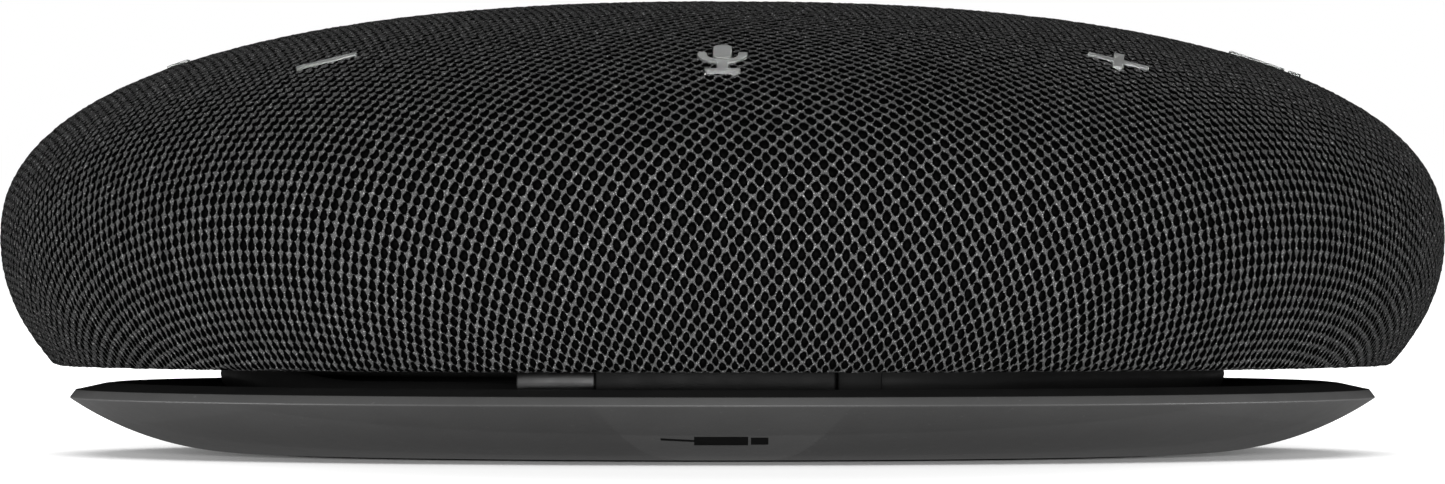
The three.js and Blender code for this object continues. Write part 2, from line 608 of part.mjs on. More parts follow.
function swept(path, radius, steps) {
  const section = new THREE.Shape();
  for (let i = 0; i < LEAD_SIDES; i += 1) {
    const angle = (i + 0.5) * 2 * Math.PI / LEAD_SIDES;
    const [x, y] = [radius * Math.cos(angle), radius * Math.sin(angle)];
    if (i === 0) section.moveTo(x, y);
    else section.lineTo(x, y);
  }
  const settings = { steps, extrudePath: path, bevelEnabled: false, curveSegments: 1 };
  return solidFrom(new THREE.ExtrudeGeometry(section, settings));
}

// Cylinder along the gland's own axis.
function alongGland(geometry) {
  const turn = new THREE.Quaternion().setFromUnitVectors(new THREE.Vector3(0, 0, 1), entry.heading);
  return solidFrom(geometry.applyQuaternion(turn).translate(entry.gland.x, entry.gland.y, GLAND.z));
}

function cableGland() {
  const half = GLAND.length / 2;
  const section = [[GLAND.bore, -half], [GLAND.radius, -half], [GLAND.radius, half], [GLAND.bore, half]];
  const sleeve = revolvedGeometry(section, 16);
  const trim = solidFrom(rodGeometry(DRUM.radius - 0.1, 0, 20, SHELL_SIDES));
  return alongGland(sleeve).intersect(trim);
}

function cableDrum() {
  const profile = [
    [0, DRUM.bottom],
    [DRUM.radius, DRUM.bottom],
    [DRUM.radius, DRUM.top],
    [DRUM.inner, DRUM.top],
    [DRUM.inner, DRUM.floor],
    [0, DRUM.floor],
  ];
  const rests = STANDOFF_AZIMUTHS.map((azimuth) =>
    rodOnCircle(14, azimuth, 2, DRUM.floor - 0.5, BOARD.bottom - CLEARANCE, SCREW_SIDES));
  const slotRadius = GLAND.radius + CLEARANCE;
  const approach = [8, 4, 0].map((back) => windingPoint(LEAD_LEAVES_TURN - back));
  const slot = [
    swept(new THREE.CatmullRomCurve3([...approach, ...entry.bend, entry.end]), LEAD_RADIUS + 0.9, 12),
    alongGland(rodGeometry(slotRadius, -4, 6, 16)),
    alongGland(new THREE.BoxGeometry(2 * slotRadius, 6, 12).translate(0, 3, 0)),
  ];
  const holes = POST_AZIMUTHS.map((azimuth) =>
    rodOnCircle(BASE_SCREW_CIRCLE, azimuth, 1.5, DRUM.bottom - 1, DRUM.floor + 1, SCREW_SIDES));
  return cut(joined([revolved(profile, SHELL_SIDES), ...rests]), [...slot, ...holes]);
}

// Solid drawn with its length along local z, laid along X at the plug's place.
function alongPlug(geometry) {
  return solidFrom(geometry.rotateX(Math.PI / 2).rotateZ(Math.PI / 2).translate(0, PLUG_Y, PLUG_Z));
}

function plugBody() {
  const bevel = 0.7;
  const { from, to, width, height, corner } = PLUG_BODY;
  const shape = roundedRectangle(width - 2 * bevel, height - 2 * bevel, corner - bevel);
  const settings = {
    depth: to - from - 2 * bevel,
    bevelThickness: bevel,
    bevelSize: bevel,
    bevelSegments: 2,
    curveSegments: 3,
  };
  return alongPlug(new THREE.ExtrudeGeometry(shape, settings).translate(0, 0, from + bevel));
}

function plugShell() {
  const { from, to, width, height, corner, wall } = PLUG_SHELL;
  const inside = roundedRectangle(width - 2 * wall, height - 2 * wall, corner - wall);
  const outer = alongPlug(prism(roundedRectangle(width, height, corner), from, to));
  return outer.subtract(alongPlug(prism(inside, from - 1, to - 1)));
}

function plugRelief() {
  const { from, to, big, small, bore, socket } = RELIEF;
  const section = [[0, from], [big, from], [small, to], [bore, to], [bore, socket], [0, socket]];
  return alongPlug(revolvedGeometry(section, 16));
}

addPiece('cable_drum', cableDrum(), BLACK_PLASTIC);
addPiece('cable_gland', cableGland(), RUBBER);
addPiece('usb_cable', swept(leadPath, LEAD_RADIUS, LEAD_STEPS), LEAD_JACKET);
addPiece('plug_relief', plugRelief(), LEAD_JACKET);
addPiece('plug_body', plugBody(), BLACK_PLASTIC);
addPiece('plug_shell', plugShell(), STEEL);

// ---------------------------------------------------------------- electronics in the drum
function mainBoard() {
  const disc = solidFrom(rodGeometry(BOARD.radius, BOARD.bottom, BOARD.top, RING_SIDES));
  return cut(disc, POST_AZIMUTHS.map((azimuth) => rodOnCircle(BASE_SCREW_CIRCLE, azimuth, 3.8, 5, 9)));
}

const partsTop = BOARD.top + CLEARANCE;
addPiece('main_board', mainBoard(), BOARD_GREEN);
addPiece('codec_chip', solidFrom(block(9, 9, 1.4, -7, -4, partsTop)), CHIP);
addPiece('amplifier_chip', solidFrom(block(7, 7, 1.4, 9, 6, partsTop)), CHIP);
addPiece('cable_connector', solidFrom(block(7, 5, 2.4, -17, 13, partsTop)), PAPER);

export default group;
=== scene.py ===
import json
import math

import bpy
import numpy as np
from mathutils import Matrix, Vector

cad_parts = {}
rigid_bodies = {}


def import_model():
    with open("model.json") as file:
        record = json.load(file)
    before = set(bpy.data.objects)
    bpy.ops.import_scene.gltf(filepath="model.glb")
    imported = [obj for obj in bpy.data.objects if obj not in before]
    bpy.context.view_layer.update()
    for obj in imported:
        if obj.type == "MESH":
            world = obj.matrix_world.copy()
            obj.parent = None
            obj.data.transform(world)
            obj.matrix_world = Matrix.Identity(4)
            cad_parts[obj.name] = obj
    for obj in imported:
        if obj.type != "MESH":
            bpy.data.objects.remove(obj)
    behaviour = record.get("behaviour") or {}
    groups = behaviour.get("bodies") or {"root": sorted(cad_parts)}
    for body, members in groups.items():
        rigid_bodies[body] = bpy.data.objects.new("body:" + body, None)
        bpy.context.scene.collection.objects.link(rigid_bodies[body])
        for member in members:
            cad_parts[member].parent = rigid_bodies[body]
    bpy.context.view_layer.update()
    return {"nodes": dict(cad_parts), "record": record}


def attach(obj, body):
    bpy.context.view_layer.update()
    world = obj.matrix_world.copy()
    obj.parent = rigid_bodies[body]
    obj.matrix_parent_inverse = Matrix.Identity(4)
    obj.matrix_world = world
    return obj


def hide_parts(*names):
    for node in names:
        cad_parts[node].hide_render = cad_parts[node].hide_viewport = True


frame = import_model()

MM = 0.001
HOUSING = "housing"

# Outer surface of the body, as in the CAD: a superellipse above its widest level, an ellipse below.
BODY_RADIUS = 61.5
EQUATOR_Z = 18.2
DOME_RISE = 20.3
DOME_POWER = 2.34
FLANK_DROP = 28.0

# Keys: the azimuth of each in degrees, from the front towards +X, and the ring that they stand on.
KEYS = {"call": -90, "minus": -45, "microphone": 0, "plus": 45, "video": 90}
KEY_RADIUS = 46.2
ICON_PROUD = 0.15

# Base.
DISH_BOTTOM_Z = 0.12
DISH_FLAT_RADIUS = 40.3
DISH_TIP_RADIUS = 55.6
DISH_TIP_Z = 4.8
PLATE_SCREW_CIRCLE = 24
PLATE_SCREW_AZIMUTHS = (60, 180, 300)

# Plug, as in the CAD: it lies along X, its shell towards -X.
PLUG_Y = -44.6
PLUG_Z = 6.7
GRIP = {"width": 9.4, "height": 5.2, "corner": 2.5}
SHELL = {"width": 8.34, "height": 2.56, "corner": 1.26}
RELIEF_FROM = 9.5
RELIEF_TO = 13.1

# Lead, as in the CAD. A turn on the drum is its centreline's (radius, z).
LEAD_RADIUS = 1.55
LEAD_START = 12.3
OUTER_TURN = (41.2, 6.8)
LOWER_TURN = (37.75, 5.0)
UPPER_TURN = (37.75, 8.4)

# Degrees of winding, from the front, where the lead joins the turns, and those between which it changes
# its radius or its height.
WINDING_STARTS = 22
JOINS_OUTER_RADIUS = 52
TO_OUTER_HEIGHT = (20, 60)
TO_LOWER_RADIUS = (303, 348)
TO_LOWER_HEIGHT = (283, 312)
TO_UPPER_HEIGHT = (612, 660)
LEAD_LEAVES_TURN = 938

# The lead's bend inwards to the gland in the drum wall, and its straight end.
ENTRY_BEND = 13
ENTRY_ANGLE = 40
GLAND_Z = 7.6
PAST_BEND = 4.3


# ---------------------------------------------------------------- camera
def make_camera():
    camera = bpy.data.objects.new("camera", bpy.data.cameras.new("camera"))
    bpy.context.scene.collection.objects.link(camera)
    camera.data.sensor_width = 36
    camera.data.lens = 373.7
    camera.data.clip_start = 0.05
    camera.data.clip_end = 30
    camera.location = (0, -1.278, 0.0227)
    aim = Vector((0, 0, 0.018)) - camera.location
    camera.rotation_euler = aim.to_track_quat("-Z", "Y").to_euler()
    bpy.context.scene.camera = camera


make_camera()


# ---------------------------------------------------------------- materials
class Surface:
    """A material built from nodes; its patterns run over the piece's own coordinates, in metres."""

    def __init__(self, name, roughness=0.5, metallic=0.0, **inputs):
        self.material = bpy.data.materials.new(name)
        self.material.use_nodes = True
        self.tree = self.material.node_tree
        self.shader = self.tree.nodes["Principled BSDF"]
        self.shader.inputs["Roughness"].default_value = roughness
        self.shader.inputs["Metallic"].default_value = metallic
        for socket, value in inputs.items():
            self.shader.inputs[socket.replace("_", " ")].default_value = value
        self.place = self.add("ShaderNodeTexCoord").outputs["Object"]

    def add(self, kind, settings=(), **inputs):
        node = self.tree.nodes.new(kind)
        for key, value in dict(settings).items():
            setattr(node, key, value)
        for key, value in inputs.items():
            socket = node.inputs[int(key[1:])] if key[0] == "_" else node.inputs[key]
            if isinstance(value, bpy.types.NodeSocket):
                self.tree.links.new(value, socket)
            else:
                socket.default_value = value
        return node

    def math(self, operation, a, b=0.0, c=0.0):
        return self.add("ShaderNodeMath", {"operation": operation}, _0=a, _1=b, _2=c).outputs[0]

    def noise(self, scale, detail=3.0, place=None, roughness=0.5):
        where = self.place if place is None else place
        return self.add(
            "ShaderNodeTexNoise", Vector=where, Scale=scale, Detail=detail, Roughness=roughness
        ).outputs["Fac"]

    def span(self, value, from_low, from_high, to_low, to_high, smooth=False):
        settings = {"interpolation_type": "SMOOTHSTEP" if smooth else "LINEAR"}
        node = self.add("ShaderNodeMapRange", settings, Value=value)
        for key, number in zip(
            ("From Min", "From Max", "To Min", "To Max"), (from_low, from_high, to_low, to_high)
        ):
            if isinstance(number, bpy.types.NodeSocket):
                self.tree.links.new(number, node.inputs[key])
            else:
                node.inputs[key].default_value = number
        return node.outputs["Result"]

    def mix(self, factor, low, high):
        node = self.add("ShaderNodeMix", {"data_type": "RGBA"})
        for socket, value in ((node.inputs["Factor"], factor), (node.inputs[6], low), (node.inputs[7], high)):
            if isinstance(value, bpy.types.NodeSocket):
                self.tree.links.new(value, socket)
            elif isinstance(value, float):
                socket.default_value = value
            else:
                socket.default_value = (*value, 1.0)
        return node.outputs[2]

    def link(self, output, socket):
        self.tree.links.new(output, self.shader.inputs[socket])
        return self

    def bump(self, *layers):
        """Layers of (height, distance in metres), each on top of the last."""
        normal = None
        for height, distance in layers:
            node = self.add("ShaderNodeBump", Height=height, Distance=distance)
            if normal is not None:
                self.tree.links.new(normal, node.inputs["Normal"])
            normal = node.outputs["Normal"]
        return self.link(normal, "Normal")


def grey(level, tint=(1.0, 1.0, 1.0)):
    """Linear colour of an sRGB grey level from 0 to 255, with a slight tint."""
    value = level / 255
    linear = value / 12.92 if value <= 0.04045 else ((value + 0.055) / 1.055) ** 2.4
    return tuple(linear * t for t in tint)


def moulded(name, dark, light, roughness, spark=9000.0, depth=12e-6, **inputs):
    """Moulded plastic or rubber: spark-eroded grain, faint mottling and uneven gloss."""
    s = Surface(name, roughness, **inputs)
    broad = s.noise(90.0, 4.0)
    fine = s.noise(spark, 2.0)
    s.link(s.mix(s.span(broad, 0.3, 0.7, 0.0, 1.0), dark, light), "Base Color")
    s.link(s.span(s.noise(420.0, 3.0), 0.25, 0.75, roughness - 0.06, roughness + 0.07), "Roughness")
    return s.bump((broad, 60e-6), (fine, depth)).material


def brushed(name, dark, light, roughness, stretch=(1.0, 60.0, 60.0), **inputs):
    """Drawn or plated metal: fine lines along one axis, with faint stains."""
    s = Surface(name, roughness, 1.0, **inputs)
    lines = s.add("ShaderNodeMapping", Vector=s.place, Scale=stretch).outputs["Vector"]
    streaks = s.noise(260.0, 4.0, lines)
    s.link(s.mix(s.span(streaks, 0.3, 0.7, 0.0, 1.0), dark, light), "Base Color")
    s.link(s.span(s.noise(700.0, 3.0), 0.2, 0.8, roughness - 0.05, roughness + 0.07), "Roughness")
    return s.bump((streaks, 1.5e-6)).material


def circuit_board():
    """Solder mask over tracks and pads."""
    s = Surface("circuit_board_green", 0.4)
    cells = s.add(
        "ShaderNodeTexVoronoi", {"distance": "CHEBYCHEV", "feature": "F1"}, Vector=s.place, Scale=420.0
    )
    tracks = s.span(cells.outputs["Distance"], 0.42, 0.5, 0.0, 1.0)
    pads = s.span(s.noise(900.0, 1.0), 0.66, 0.68, 0.0, 1.0)
    mask = s.mix(tracks, (0.006, 0.045, 0.022), (0.012, 0.085, 0.04))
    s.link(s.mix(pads, mask, (0.55, 0.5, 0.38)), "Base Color")
    s.link(pads, "Metallic")
    return s.bump((tracks, 20e-6), (pads, 15e-6)).material


def pressed_paper():
    s = Surface("pressed_paper", 0.85)
    fibres = s.noise(2600.0, 6.0, roughness=0.7)
    s.link(s.mix(s.span(fibres, 0.3, 0.7, 0.0, 1.0), grey(28), grey(52)), "Base Color")
    return s.bump((fibres, 40e-6)).material


def wound_copper():
    s = Surface("enamelled_copper", 0.35, 1.0)
    turns = s.add("ShaderNodeTexWave", {"bands_direction": "Z"}, Vector=s.place, Scale=900.0).outputs["Fac"]
    s.link(s.mix(turns, (0.25, 0.09, 0.03), (0.72, 0.34, 0.15)), "Base Color")
    return s.bump((turns, 60e-6)).material


def treated_weave():
    s = Surface("treated_weave", 0.8)
    across = [
        s.add("ShaderNodeTexWave", {"bands_direction": axis}, Vector=s.place, Scale=420.0, Distortion=0.6)
        for axis in ("X", "Y")
    ]
    weave = s.math("MULTIPLY", across[0].outputs["Fac"], across[1].outputs["Fac"])
    s.link(s.mix(weave, (0.12, 0.06, 0.02), (0.42, 0.25, 0.1)), "Base Color")
    return s.bump((weave, 80e-6)).material


DRUM_BLACK = moulded("matt_black_plastic", grey(14), grey(20), 0.62)
RUBBER = moulded("matt_black_rubber", grey(20), grey(29), 0.85, 5200.0, 30e-6)
CHIP = moulded("chip_epoxy", grey(18), grey(30), 0.45, 12000.0)
WHITE = moulded("off_white_plastic", grey(205), grey(222), 0.4)
FOIL = moulded("blank_plate_foil", grey(38), grey(46), 0.55, 14000.0, 6e-6)
NICKEL = brushed("nickel_plate", grey(112), grey(124), 0.38, (1.0, 25.0, 25.0))
ZINC = brushed("zinc_plate", grey(150), grey(190), 0.42)
BOARD = circuit_board()
PAPER = pressed_paper()
COPPER = wound_copper()
WEAVE = treated_weave()
GREENISH = (0.97, 1.0, 0.985)
ICON = moulded(
    "pale_grey_silicone", grey(110, GREENISH), grey(118, GREENISH), 0.6, 7000.0, 9e-6, Specular_IOR_Level=0.3
)
# Black for a thin sheet over the groove's deck and chamfer: painted shade for the shadow under the body's
# overhang.
GROOVE_SHADE = moulded("groove_shade_black", grey(20), grey(25), 0.6, Specular_IOR_Level=0.3)
OVERMOULD = moulded("plug_overmould", grey(11), grey(15), 0.38, Specular_IOR_Level=0.35)
RELIEF = moulded("strain_relief", grey(66), grey(72), 0.5, Specular_IOR_Level=0.3)
PRINT = moulded("black_print", grey(12), grey(16), 0.7, Specular_IOR_Level=0.12)


def dish_elastomer():
    """Soft-touch grey: very fine grain, faint cloudy wear and a few pale specks."""
    warm = (1.0, 0.995, 0.99)
    s = Surface("dish_elastomer", 0.55)
    clouds = s.noise(38.0, 5.0)
    grain = s.noise(6500.0, 2.0)
    specks = s.span(s.noise(1500.0, 1.0), 0.74, 0.78, 0.0, 0.35)
    base = s.mix(s.span(clouds, 0.3, 0.7, 0.0, 1.0), grey(62, warm), grey(67, warm))
    s.link(s.mix(specks, base, grey(94)), "Base Color")
    s.link(s.span(s.noise(260.0, 4.0), 0.25, 0.75, 0.48, 0.62), "Roughness")
    return s.bump((clouds, 50e-6), (grain, 16e-6)).material


def lead_jacket():
    """Soft jacket: faint mottling, fine grain and satin gloss."""
    s = Surface("lead_jacket", 0.45)
    broad = s.noise(150.0, 4.0)
    grain = s.noise(5200.0, 2.0)
    s.link(s.mix(s.span(broad, 0.3, 0.7, 0.0, 1.0), grey(70), grey(78)), "Base Color")
    s.link(s.span(s.noise(700.0, 2.0), 0.3, 0.7, 0.4, 0.52), "Roughness")
    return s.bump((broad, 50e-6), (grain, 14e-6)).material


# A hole's half width in pitches, how much longer than wide it grows, and the power that squares it off.
HOLE_SIZE = 0.43
HOLE_STRETCH = 1.15
HOLE_SQUARENESS = 1.6


def knit():
    """Open net of multi-filament yarn. The UV map counts holes from the crown, one at each whole number."""
    s = Surface("melange_knit", 0.9, Specular_IOR_Level=0.03)

    def vector(operation, **inputs):
        return s.add("ShaderNodeVectorMath", {"operation": operation}, **inputs).outputs

    # Place within a hole's cell, with the holes wandering a little.
    lattice = s.add("ShaderNodeUVMap", {"uv_map": "holes"}).outputs["UV"]
    wander = s.add("ShaderNodeTexNoise", Vector=lattice, Scale=1.6, Detail=2.0).outputs["Color"]
    shift = vector("SUBTRACT", _0=wander, _1=(0.5, 0.5, 0.5))[0]
    moved = vector("MULTIPLY_ADD", _0=shift, _1=(0.26, 0.26, 0.0), _2=lattice)[0]
    cell = vector("FRACTION", _0=vector("ADD", _0=moved, _1=(0.5, 0.5, 0.0))[0])[0]
    local = vector("SUBTRACT", _0=cell, _1=(0.5, 0.5, 0.0))[0]
    # The cloth is pulled outwards, so its holes grow longer away from the crown than across.
    pull = vector("NORMALIZE", _0=lattice)[0]
    across_pull = vector("CROSS_PRODUCT", _0=pull, _1=(0.0, 0.0, 1.0))[0]
    longer = s.span(vector("LENGTH", _0=lattice)["Value"], 10.0, 60.0, 1.0, HOLE_STRETCH)
    along_pull = s.math("ABSOLUTE", vector("DOT_PRODUCT", _0=local, _1=pull)["Value"])
    along = s.math("DIVIDE", along_pull, longer)
    beside_pull = s.math("ABSOLUTE", vector("DOT_PRODUCT", _0=local, _1=across_pull)["Value"])
    across = s.math("MULTIPLY", beside_pull, longer)
    powers = s.math("ADD", s.math("POWER", along, HOLE_SQUARENESS), s.math("POWER", across, HOLE_SQUARENESS))
    away = s.math("POWER", powers, 1 / HOLE_SQUARENESS)
    away = s.math("ADD", away, s.span(s.noise(0.9, 2.0, lattice), 0.3, 0.7, -0.025, 0.025))
    # The yarn's ragged edge and its crest, then its colours: dark and light strands, pale flecks, painted
    # shade darkening the yarn towards each hole's edge, and the holes' floors painted dark as shade.
    filaments = s.noise(13.0, 3.0, lattice, 0.75)
    ragged = s.math("MULTIPLY_ADD", filaments, 0.1, s.math("SUBTRACT", away, 0.05))
    yarn = s.span(ragged, HOLE_SIZE - 0.02, HOLE_SIZE + 0.02, 0.0, 1.0, smooth=True)
    crest = s.span(ragged, HOLE_SIZE, HOLE_SIZE + 0.1, 0.0, 1.0, smooth=True)
    strands = s.span(filaments, 0.34, 0.66, 0.0, 1.0)
    melange = s.span(s.noise(0.8, 3.0, lattice, 0.7), 0.36, 0.64, 0.0, 1.0)
    flecks = s.span(s.noise(6.0, 2.0, lattice, 0.65), 0.59, 0.66, 0.0, 0.75)
    colour = s.mix(strands, grey(34), grey(132))
    colour = s.mix(s.math("MULTIPLY", melange, 0.45), colour, grey(40))
    colour = s.mix(flecks, colour, grey(210))
    # Painted shade: the yarn darkens to grey 22 towards each hole's edge, away from its crest.
    colour = s.mix(crest, grey(22), colour)
    # Painted shade in the holes: a dark floor, grey 7 in the middle and black at the rim under the yarn.
    hole_shade = s.mix(s.span(ragged, 0.1, 0.3, 0.0, 1.0), grey(7), grey(0))
    s.link(s.mix(yarn, hole_shade, colour), "Base Color")
    height = s.math("MULTIPLY", s.math("ADD", crest, yarn), 0.5)
    return s.bump((height, 160e-6), (filaments, 90e-6)).material


JACKET = lead_jacket()
DISH = dish_elastomer()
KNIT = knit()


# ---------------------------------------------------------------- shapes
def add_mesh(name, vertices, faces, material, body, *replaced, smooth_angle=None):
    """A piece from points in millimetres. Edges sharper than smooth_angle, in degrees, stay sharp."""
    mesh = bpy.data.meshes.new(name)
    mesh.from_pydata([tuple(c * MM for c in v) for v in vertices], [], faces)
    mesh.validate()
    mesh.materials.append(material)
    mesh.shade_smooth()
    if smooth_angle is not None:
        mesh.set_sharp_from_angle(angle=math.radians(smooth_angle))
    piece = bpy.data.objects.new(name, mesh)
    bpy.context.scene.collection.objects.link(piece)
    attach(piece, body)
    if replaced:
        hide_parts(*replaced)
    return piece


slots = {row["node"]: row["material_slot"] for row in frame["record"]["subparts"]}


def fillet(corners, steps=4):
    """Closed outline from (x, y, corner radius) with each corner rounded by that radius."""
    outline = []
    for i, (x, y, radius) in enumerate(corners):
        here = Vector((x, y))
        before = Vector(corners[i - 1][:2]) - here
        after = Vector(corners[(i + 1) % len(corners)][:2]) - here
        if radius <= 0:
            outline.append(here)
            continue
        half = before.angle(after) / 2
        cut = min(radius / math.tan(half), before.length * 0.49, after.length * 0.49)
        start, end = here + before.normalized() * cut, here + after.normalized() * cut
        for k in range(steps + 1):
            t = k / steps
            outline.append(start * (1 - t) ** 2 + here * 2 * t * (1 - t) + end * t**2)
    return [(p.x, p.y) for p in outline]


def lathe(name, corners, material, *replaced, body=HOUSING, sides=192, steps=4):
    """A ring or disc turned about Z from (radius, z, corner radius), its axis points having radius 0."""
    profile = fillet(corners, steps)
    vertices, rings, faces = [], [], []
    for r, z in profile:
        if r < 1e-6:
            rings.append([len(vertices)] * sides)
            vertices.append((0.0, 0.0, z))
            continue
        rings.append(list(range(len(vertices), len(vertices) + sides)))
        vertices += [
            (r * math.sin(2 * math.pi * k / sides), -r * math.cos(2 * math.pi * k / sides), z)
            for k in range(sides)
        ]
    for ring, following in zip(rings, rings[1:] + rings[:1]):
        for k in range(sides):
            corner = [ring[k], ring[(k + 1) % sides], following[(k + 1) % sides], following[k]]
            face = list(dict.fromkeys(corner))
            if len(face) > 2:
                faces.append(face)
    return add_mesh(name, vertices, faces, material, body, *replaced, smooth_angle=35)


def inset_outline(outline, distance):
    """The outline moved inwards, by mitring its corners. Outlines run anticlockwise."""
    moved = []
    for i, here in enumerate(outline):
        before, after = outline[i - 1], outline[(i + 1) % len(outline)]
        a = Vector((here[0] - before[0], here[1] - before[1])).normalized()
        b = Vector((after[0] - here[0], after[1] - here[1])).normalized()
        normal = Vector((-a.y - b.y, a.x + b.x))
        normal = normal.normalized() if normal.length > 1e-6 else Vector((-a.y, a.x))
        share = max(normal.dot(Vector((-a.y, a.x))), 0.5)
        moved.append((here[0] + normal.x * distance / share, here[1] + normal.y * distance / share))
    return moved


def prism(outline, levels):
    """Closed solid from an outline; levels are (z, inset) from bottom to top. Gives vertices and faces."""
    vertices, faces = [], []
    count = len(outline)
    for z, inset in levels:
        vertices += [(x, y, z) for x, y in inset_outline(outline, inset)]
    for level in range(len(levels) - 1):
        low, high = level * count, (level + 1) * count
        for i in range(count):
            j = (i + 1) % count
            faces.append([low + i, low + j, high + j, high + i])
    faces.append(list(range(count))[::-1])
    faces.append(list(range((len(levels) - 1) * count, len(levels) * count)))
    return vertices, faces


def gathered(solids):
    """Several (vertices, faces) as one."""
    vertices, faces = [], []
    for more_vertices, more_faces in solids:
        start = len(vertices)
        vertices += more_vertices
        faces += [[start + i for i in face] for face in more_faces]
    return vertices, faces


# ---------------------------------------------------------------- lead
def smooth(angle, start, end):
    """From 0 at start to 1 at end, level at both."""
    t = min(max((angle - start) / (end - start), 0.0), 1.0)
    return t * t * (3 - 2 * t)


def between(a, b, t):
    return a + (b - a) * t


def on_circle(radius, azimuth, z=0.0):
    """Point at an azimuth in degrees from the front towards +X."""
    return Vector((radius * math.sin(math.radians(azimuth)), -radius * math.cos(math.radians(azimuth)), z))


def winding_point(angle):
    """Place of the lead's centreline on the drum, at an angle of winding in degrees."""
    start_angle = math.degrees(math.atan2(RELIEF_TO, -PLUG_Y))
    start_radius = math.hypot(RELIEF_TO, PLUG_Y)
    radius = between(start_radius, OUTER_TURN[0], smooth(angle, start_angle, JOINS_OUTER_RADIUS))
    z = between(PLUG_Z, OUTER_TURN[1], smooth(angle, *TO_OUTER_HEIGHT))
    radius = between(radius, LOWER_TURN[0], smooth(angle, *TO_LOWER_RADIUS))
    z = between(z, LOWER_TURN[1], smooth(angle, *TO_LOWER_HEIGHT))
    z = between(z, UPPER_TURN[1], smooth(angle, *TO_UPPER_HEIGHT))
    return on_circle(radius, angle, z)


def lead_route():
    """Centreline in millimetres, from the plug's strain relief to the gland."""
    route = [Vector((LEAD_START, PLUG_Y, PLUG_Z)), Vector((RELIEF_TO, PLUG_Y, PLUG_Z))]
    steps = 260
    wound = LEAD_LEAVES_TURN - WINDING_STARTS
    route += [winding_point(WINDING_STARTS + wound * i / steps) for i in range(steps + 1)]
    outward, onward = on_circle(1, LEAD_LEAVES_TURN), on_circle(1, LEAD_LEAVES_TURN + 90)
    centre = outward * (UPPER_TURN[0] - ENTRY_BEND)
    for angle in range(5, ENTRY_ANGLE + 1, 5):
        a = math.radians(angle)
        point = centre + outward * (ENTRY_BEND * math.cos(a)) + onward * (ENTRY_BEND * math.sin(a))
        point.z = between(UPPER_TURN[1], GLAND_Z, smooth(angle, 5, ENTRY_ANGLE))
        route.append(point)
    a = math.radians(ENTRY_ANGLE)
    heading = onward * math.cos(a) - outward * math.sin(a)
    route.append(route[-1] + heading * PAST_BEND)
    return route


def make_lead():
    """The lead, its route from the gland to the plug and its length, both in metres."""
    route = [p * MM for p in reversed(lead_route())]
    length = sum((b - a).length for a, b in zip(route, route[1:]))
    curve = bpy.data.curves.new("lead", "CURVE")
    curve.dimensions = "3D"
    curve.bevel_depth = LEAD_RADIUS * MM
    curve.bevel_resolution = 5
    curve.use_fill_caps = True
    spline = curve.splines.new("POLY")
    spline.points.add(len(route) - 1)
    for point, place in zip(spline.points, route):
        point.co = (*place, 1)
    spline.use_smooth = True
    curve.materials.append(JACKET)
    lead = bpy.data.objects.new("lead", curve)
    bpy.context.scene.collection.objects.link(lead)
    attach(lead, HOUSING)
    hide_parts("usb_cable")
    return lead, route, length


def rounded_rectangle(width, height, corner, steps=6):
    w, h = width / 2, height / 2
    return fillet([(w, -h, corner), (w, h, corner), (-w, h, corner), (-w, -h, corner)], steps)


def along_plug(solid):
    """Solid drawn with its length along Z, laid along +X at the plug's place: its x becomes Y, its y Z."""
    vertices, faces = solid
    return [(z, PLUG_Y + x, PLUG_Z + y) for x, y, z in vertices], faces


def plug_piece(name, solid, material, node):
    vertices, faces = along_plug(solid)
    return add_mesh(name, vertices, faces, material, HOUSING, node, smooth_angle=40)


def make_grip():
    outline = rounded_rectangle(GRIP["width"], GRIP["height"], GRIP["corner"], 10)
    levels = [(-10.5, 0.2), (-10.46, 0.08), (-10.38, 0.02), (-10.25, 0.0)]
    levels += [(9.1, 0.0), (9.23, 0.02), (9.31, 0.08), (9.35, 0.2)]
    return plug_piece("plug_grip", prism(outline, levels), OVERMOULD, "plug_body")


def make_shell():
    """Metal shell, closed where it enters the grip, rounded at its mouth and hollow from there."""
    outer = rounded_rectangle(SHELL["width"], SHELL["height"], SHELL["corner"], 8)
    count = len(outer)
    outside = [(-10.56, 0.0), (-16.72, 0.0), (-16.86, 0.06), (-16.9, 0.14)]
    inside = [(-16.9, 0.26), (-16.82, 0.34), (-16.6, 0.36), (-11.6, 0.36)]
    walls = outside + inside
    vertices, faces = [], []
    for z, inset in walls:
        vertices += [(x, y, z) for x, y in inset_outline(outer, inset)]
    for level in range(len(walls) - 1):
        low, high = level * count, (level + 1) * count
        faces += [[low + i, high + i, high + (i + 1) % count, low + (i + 1) % count] for i in range(count)]
    faces.append(list(range(count)))
    faces.append(list(range((len(walls) - 1) * count, len(walls) * count))[::-1])
    return plug_piece("plug_metal_shell", (vertices, faces), NICKEL, "plug_shell")


def make_strain_relief():
    """Tapered sleeve with a socket that takes the lead's end."""
    socket = LEAD_RADIUS + 0.1
    sleeve = [
        (socket, RELIEF_TO), (2.05, RELIEF_TO), (2.2, RELIEF_TO - 0.06), (2.27, RELIEF_TO - 0.2),
        (2.56, RELIEF_FROM + 0.2), (2.58, RELIEF_FROM + 0.08), (2.54, RELIEF_FROM), (2.46, RELIEF_FROM - 0.04),
        (0.0, RELIEF_FROM - 0.04), (0.0, LEAD_START - 0.3), (socket, LEAD_START - 0.3),
    ]
    sides = 48
    turns = [2 * math.pi * k / sides for k in range(sides)]
    vertices, rings, faces = [], [], []
    for r, z in sleeve:
        r = max(r, 0.01)
        rings.append(list(range(len(vertices), len(vertices) + sides)))
        vertices += [(r * math.cos(a), r * math.sin(a), z) for a in turns]
    for ring, following in zip(rings, rings[1:] + rings[:1]):
        for k in range(sides):
            j = (k + 1) % sides
            faces.append([ring[k], following[k], following[j], ring[j]])
    return plug_piece("plug_strain_relief", (vertices, faces), RELIEF, "plug_relief")


